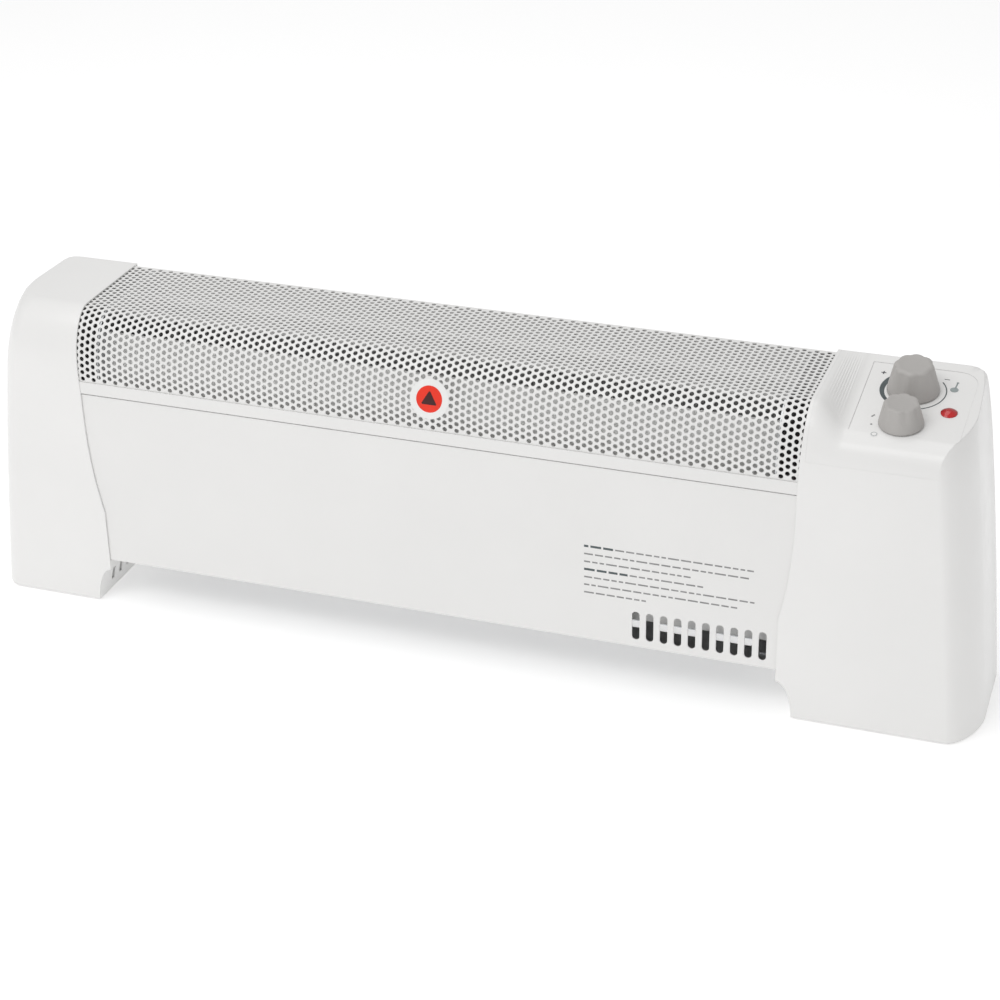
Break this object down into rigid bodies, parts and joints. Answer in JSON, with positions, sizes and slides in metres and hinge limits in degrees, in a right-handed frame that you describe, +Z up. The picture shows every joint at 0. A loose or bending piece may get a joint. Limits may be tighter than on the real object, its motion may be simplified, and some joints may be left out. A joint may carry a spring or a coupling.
{
  "type": "baseboard heater",
  "caption": "Portable electric baseboard heater: perforated convector body between footed end caps, with thermostat and selector knobs and a pilot lamp.",
  "frame": {"origin": "centre of the footprint, on the floor", "axes": "+X along the heater towards the control end, -Y is the front, +Z up"},
  "size_m": [0.762, 0.108, 0.2537],
  "materials": {
    "cap_plastic": "satin moulded, light grain",
    "cover_plastic": "moulded",
    "rubber": "moulded",
    "white_steel": "powder coated, satin",
    "zinc_steel": "galvanised",
    "aluminised_steel": "bright rolled",
    "rod_steel": "heat darkened",
    "fin_aluminium": "rolled",
    "ceramic_white": "glazed ceramic",
    "brass": "plain",
    "dark_plastic": "moulded",
    "fuse_white": "moulded",
    "phenolic": "moulded",
    "bimetal": "rolled strip",
    "shaft_steel": "turned",
    "knob_plastic": "fine grain",
    "lens_red": "clear red, polished",
    "lamp_housing": "moulded",
    "wire_live": "insulation",
    "wire_neutral": "insulation",
    "wire_earth": "insulation",
    "screw_steel": "zinc plated",
    "label_red": "printed film"
  },
  "bodies": {
    "heater": {"left_end_cap": "cap_plastic", "right_end_cap": "cap_plastic", "left_base_cover": "cover_plastic", "right_base_cover": "cover_plastic", "left_foot_pads": "rubber", "right_foot_pads": "rubber", "grille": "white_steel", "front_panel": "white_steel", "rear_panel": "white_steel", "base_plate": "zinc_steel", "left_bulkhead": "zinc_steel", "right_bulkhead": "zinc_steel", "front_shield": "aluminised_steel", "rear_deflector": "aluminised_steel", "element_rod": "rod_steel", "element_fins": "fin_aluminium", "element_bushings": "ceramic_white", "element_terminals": "brass", "overheat_cutout": "dark_plastic", "thermal_fuse": "fuse_white", "control_bracket": "zinc_steel", "thermostat_body": "phenolic", "thermostat_bimetal": "bimetal", "selector_switch": "dark_plastic", "lamp_lens": "lens_red", "lamp_body": "lamp_housing", "terminal_block": "fuse_white", "terminal_screws": "brass", "cord_bush": "rubber", "cord_clamp": "fuse_white", "tip_switch_frame": "zinc_steel", "tip_switch_pin": "shaft_steel", "tip_switch_contact": "dark_plastic", "live_wires": "wire_live", "neutral_wires": "wire_neutral", "earth_wire": "wire_earth", "cap_screws": "screw_steel", "cover_screws": "screw_steel", "panel_screws": "screw_steel", "control_screws": "screw_steel", "warning_disc": "label_red"},
    "thermostat_control": {"thermostat_knob": "knob_plastic", "thermostat_shaft": "shaft_steel"},
    "selector_control": {"selector_knob": "knob_plastic", "selector_shaft": "shaft_steel"},
    "tip_pendulum": {"tip_switch_pendulum": "brass"}
  },
  "joints": [
    {"name": "thermostat_turn", "type": "hinge", "parent": "heater", "child": "thermostat_control", "pos_m": [0.3108, 0.0164, 0.23041], "axis": [0, -0.1668, 0.986], "range_deg": [-250, 0]},
    {"name": "selector_turn", "type": "hinge", "parent": "heater", "child": "selector_control", "pos_m": [0.3106, -0.0228, 0.22378], "axis": [0, -0.1668, 0.986], "range_deg": [-60, 0]},
    {"name": "tip_pendulum_swing", "type": "hinge", "parent": "heater", "child": "tip_pendulum", "pos_m": [0.3199, 0.014, 0.04], "axis": [1, 0, 0], "range_deg": [-28, 28]}
  ]
}
